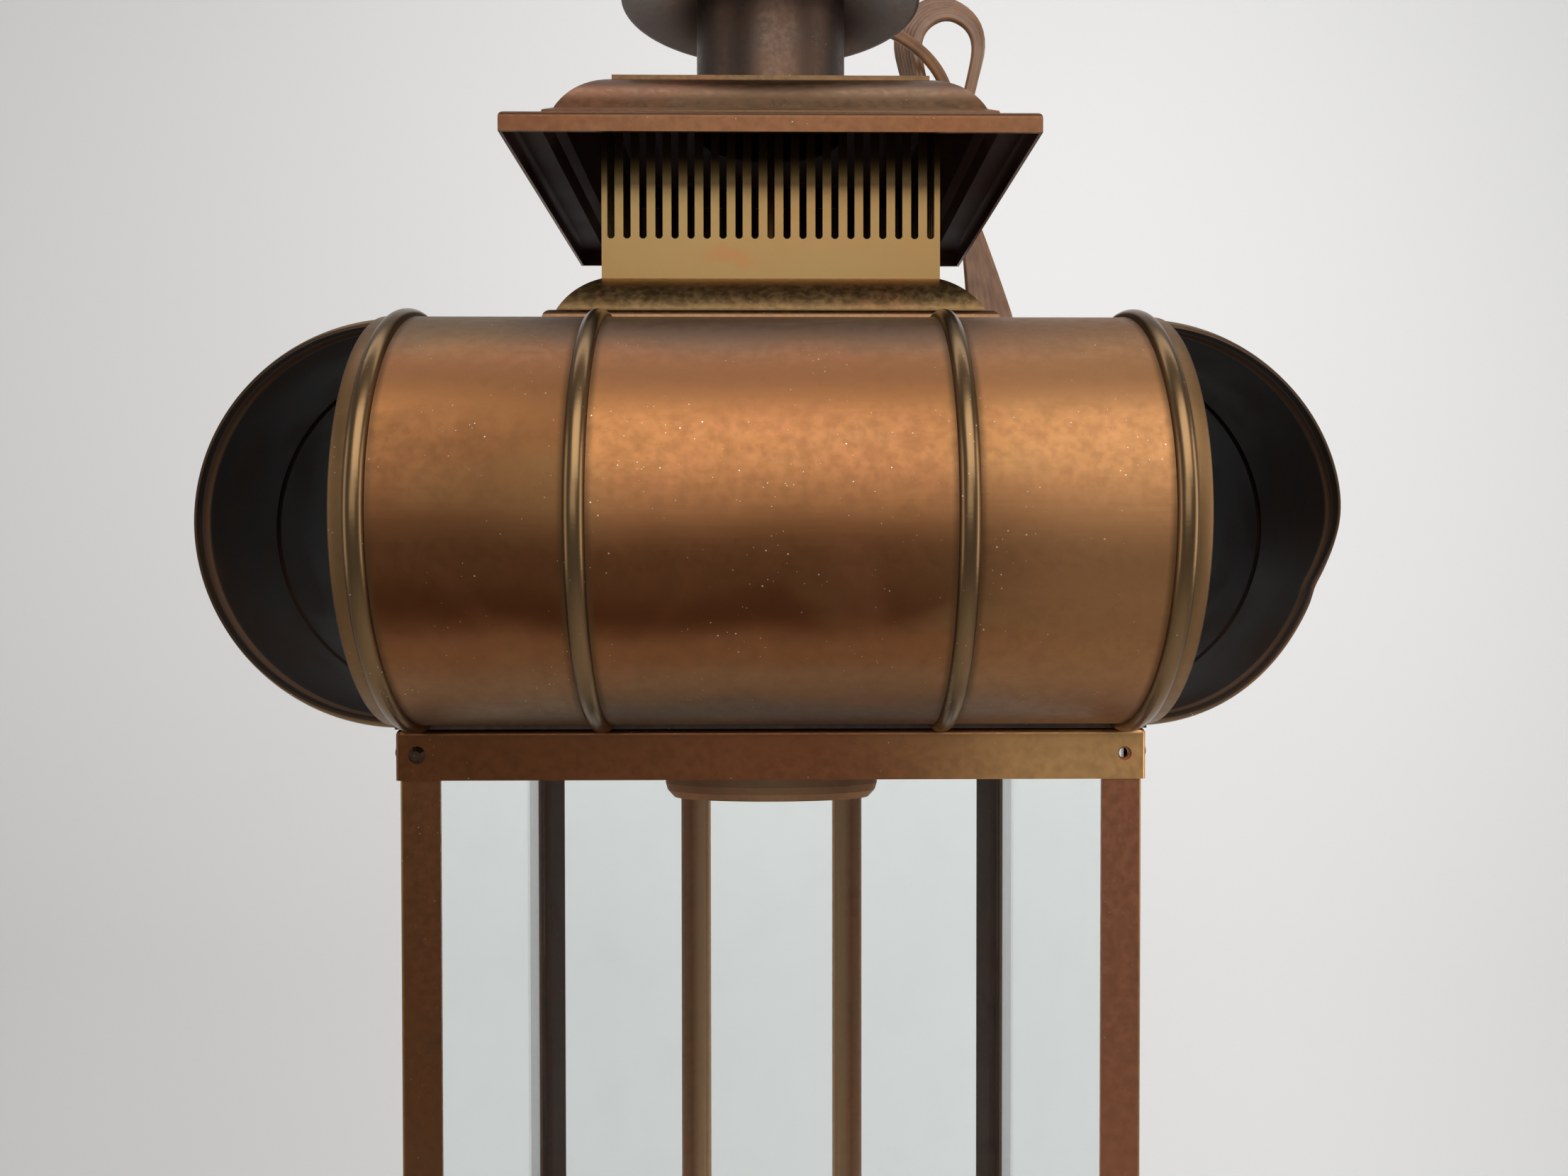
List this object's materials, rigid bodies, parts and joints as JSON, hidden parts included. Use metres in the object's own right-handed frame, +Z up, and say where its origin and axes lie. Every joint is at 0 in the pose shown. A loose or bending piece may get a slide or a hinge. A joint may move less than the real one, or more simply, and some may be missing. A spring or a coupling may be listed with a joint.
{
  "type": "outdoor lantern",
  "caption": "Square hanging lantern in patinated brass with half-barrel hoods, slotted vent box, moulded cap, chimney, rain cap and a tied cord hank.",
  "frame": {"origin": "centre of the hanging eye", "axes": "+X to the right, +Y away from the front, +Z up"},
  "size_m": [0.392, 0.392, 0.7806],
  "materials": {
    "hood_brass": "aged, brushed, patinated",
    "vent_brass": "aged, satin",
    "chimney_brass": "aged, dull",
    "dark_bronze": "dark, dull",
    "cage_brass": "aged, satin",
    "clear_glass": "clear, faint blue-green",
    "screw_bronze": "dark, worn",
    "lamp_bronze": "dark, satin",
    "bulb_cap_brass": "bright",
    "candle_ivory": "smooth",
    "socket_black": "moulded",
    "cord_brown": "smooth, flexible",
    "tie_brown": "smooth",
    "bushing_black": "moulded",
    "wire_copper": "bare copper"
  },
  "bodies": {
    "lantern": {"base_screws": "screw_bronze", "base_tray": "cage_brass", "bulb_caps": "bulb_cap_brass", "bulbs": "clear_glass", "button_screw": "screw_bronze", "candle_cups": "lamp_bronze", "candle_sleeves": "candle_ivory", "centre_pipe": "lamp_bronze", "chimney_foot": "vent_brass", "chimney_tube": "chimney_brass", "cord_bare_ends": "wire_copper", "cord_bushing": "bushing_black", "cord_hank": "cord_brown", "cord_lead": "cord_brown", "cord_tie": "tie_brown", "core_wall_back": "dark_bronze", "core_wall_front": "dark_bronze", "core_wall_left": "dark_bronze", "core_wall_right": "dark_bronze", "gallery_collar": "vent_brass", "glass_back": "clear_glass", "glass_front": "clear_glass", "glass_left": "clear_glass", "glass_right": "clear_glass", "hanging_loop": "dark_bronze", "hinge_leaves_base": "cage_brass", "hinge_pins": "screw_bronze", "hood_back": "hood_brass", "hood_front": "hood_brass", "hood_left": "hood_brass", "hood_right": "hood_brass", "lamp_bar": "lamp_bronze", "lamp_pan": "lamp_bronze", "lamp_sockets": "socket_black", "pipe_nuts": "screw_bronze", "post_back_left": "cage_brass", "post_back_right": "cage_brass", "post_front_left": "cage_brass", "post_front_right": "cage_brass", "rain_cap": "dark_bronze", "roof_deck": "vent_brass", "roof_screws": "screw_bronze", "roof_tray": "cage_brass", "stem_left": "lamp_bronze", "stem_right": "lamp_bronze", "vent_cap": "vent_brass", "vent_grille_back": "vent_brass", "vent_grille_front": "vent_brass", "vent_grille_left": "vent_brass", "vent_grille_right": "vent_brass"},
    "hatch": {"hatch_frame": "cage_brass", "hatch_glass": "clear_glass", "hatch_knob": "screw_bronze", "hinge_leaves_hatch": "cage_brass"},
    "turn_button": {"turn_button": "cage_brass"}
  },
  "joints": [
    {"name": "hatch_swing", "type": "hinge", "parent": "lantern", "child": "hatch", "pos_m": [0, 0.1036, -0.7517], "axis": [1, 0, 0], "range_deg": [0, 90]},
    {"name": "button_turn", "type": "hinge", "parent": "lantern", "child": "turn_button", "pos_m": [0, -0.11225, -0.7491], "axis": [0, 0, 1], "range_deg": [0, 90]}
  ]
}
